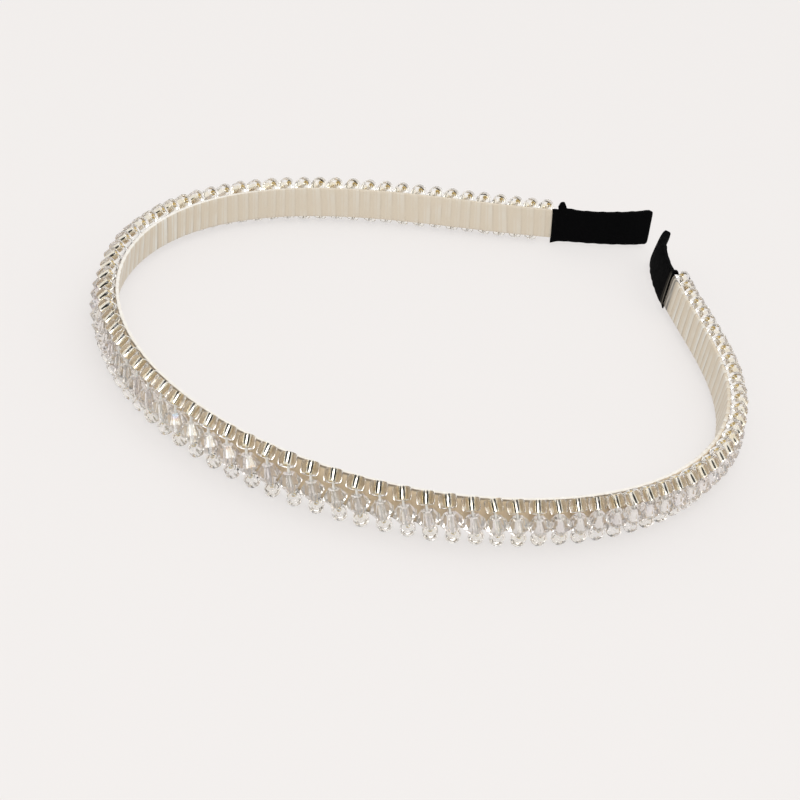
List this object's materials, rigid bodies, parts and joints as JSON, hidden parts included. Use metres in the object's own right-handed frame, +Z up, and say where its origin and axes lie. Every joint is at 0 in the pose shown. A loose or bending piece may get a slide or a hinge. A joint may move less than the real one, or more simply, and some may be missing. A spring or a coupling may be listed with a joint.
{
  "type": "beaded headband",
  "caption": "Slim sprung headband wound with cream ribbon, its outer face covered with short strands of clear seed and crystal beads, with black woven sleeves on the tips.",
  "frame": {"origin": "middle of the box round the headband, on the surface that it lies on", "axes": "+Z up across the strip's width, +Y from the crown's middle towards the two tips, +X towards the right arm"},
  "size_m": [0.1146, 0.1432, 0.0096],
  "materials": {
    "ribbon": "cream sheer ribbon wound in lapping turns, satin",
    "seed_glass": "clear silver-lined seed glass",
    "crystal_glass": "clear cut glass with a faint iridescent coat",
    "thread": "clear nylon thread",
    "sleeve_fabric": "matte black woven tape"
  },
  "bodies": {
    "root": {"wrapped_strip": "ribbon", "upper_seed_row": "seed_glass", "left_crystals": "crystal_glass", "right_crystals": "crystal_glass", "lower_seed_row": "seed_glass", "thread": "thread", "left_sleeve": "sleeve_fabric", "right_sleeve": "sleeve_fabric"}
  },
  "joints": []
}
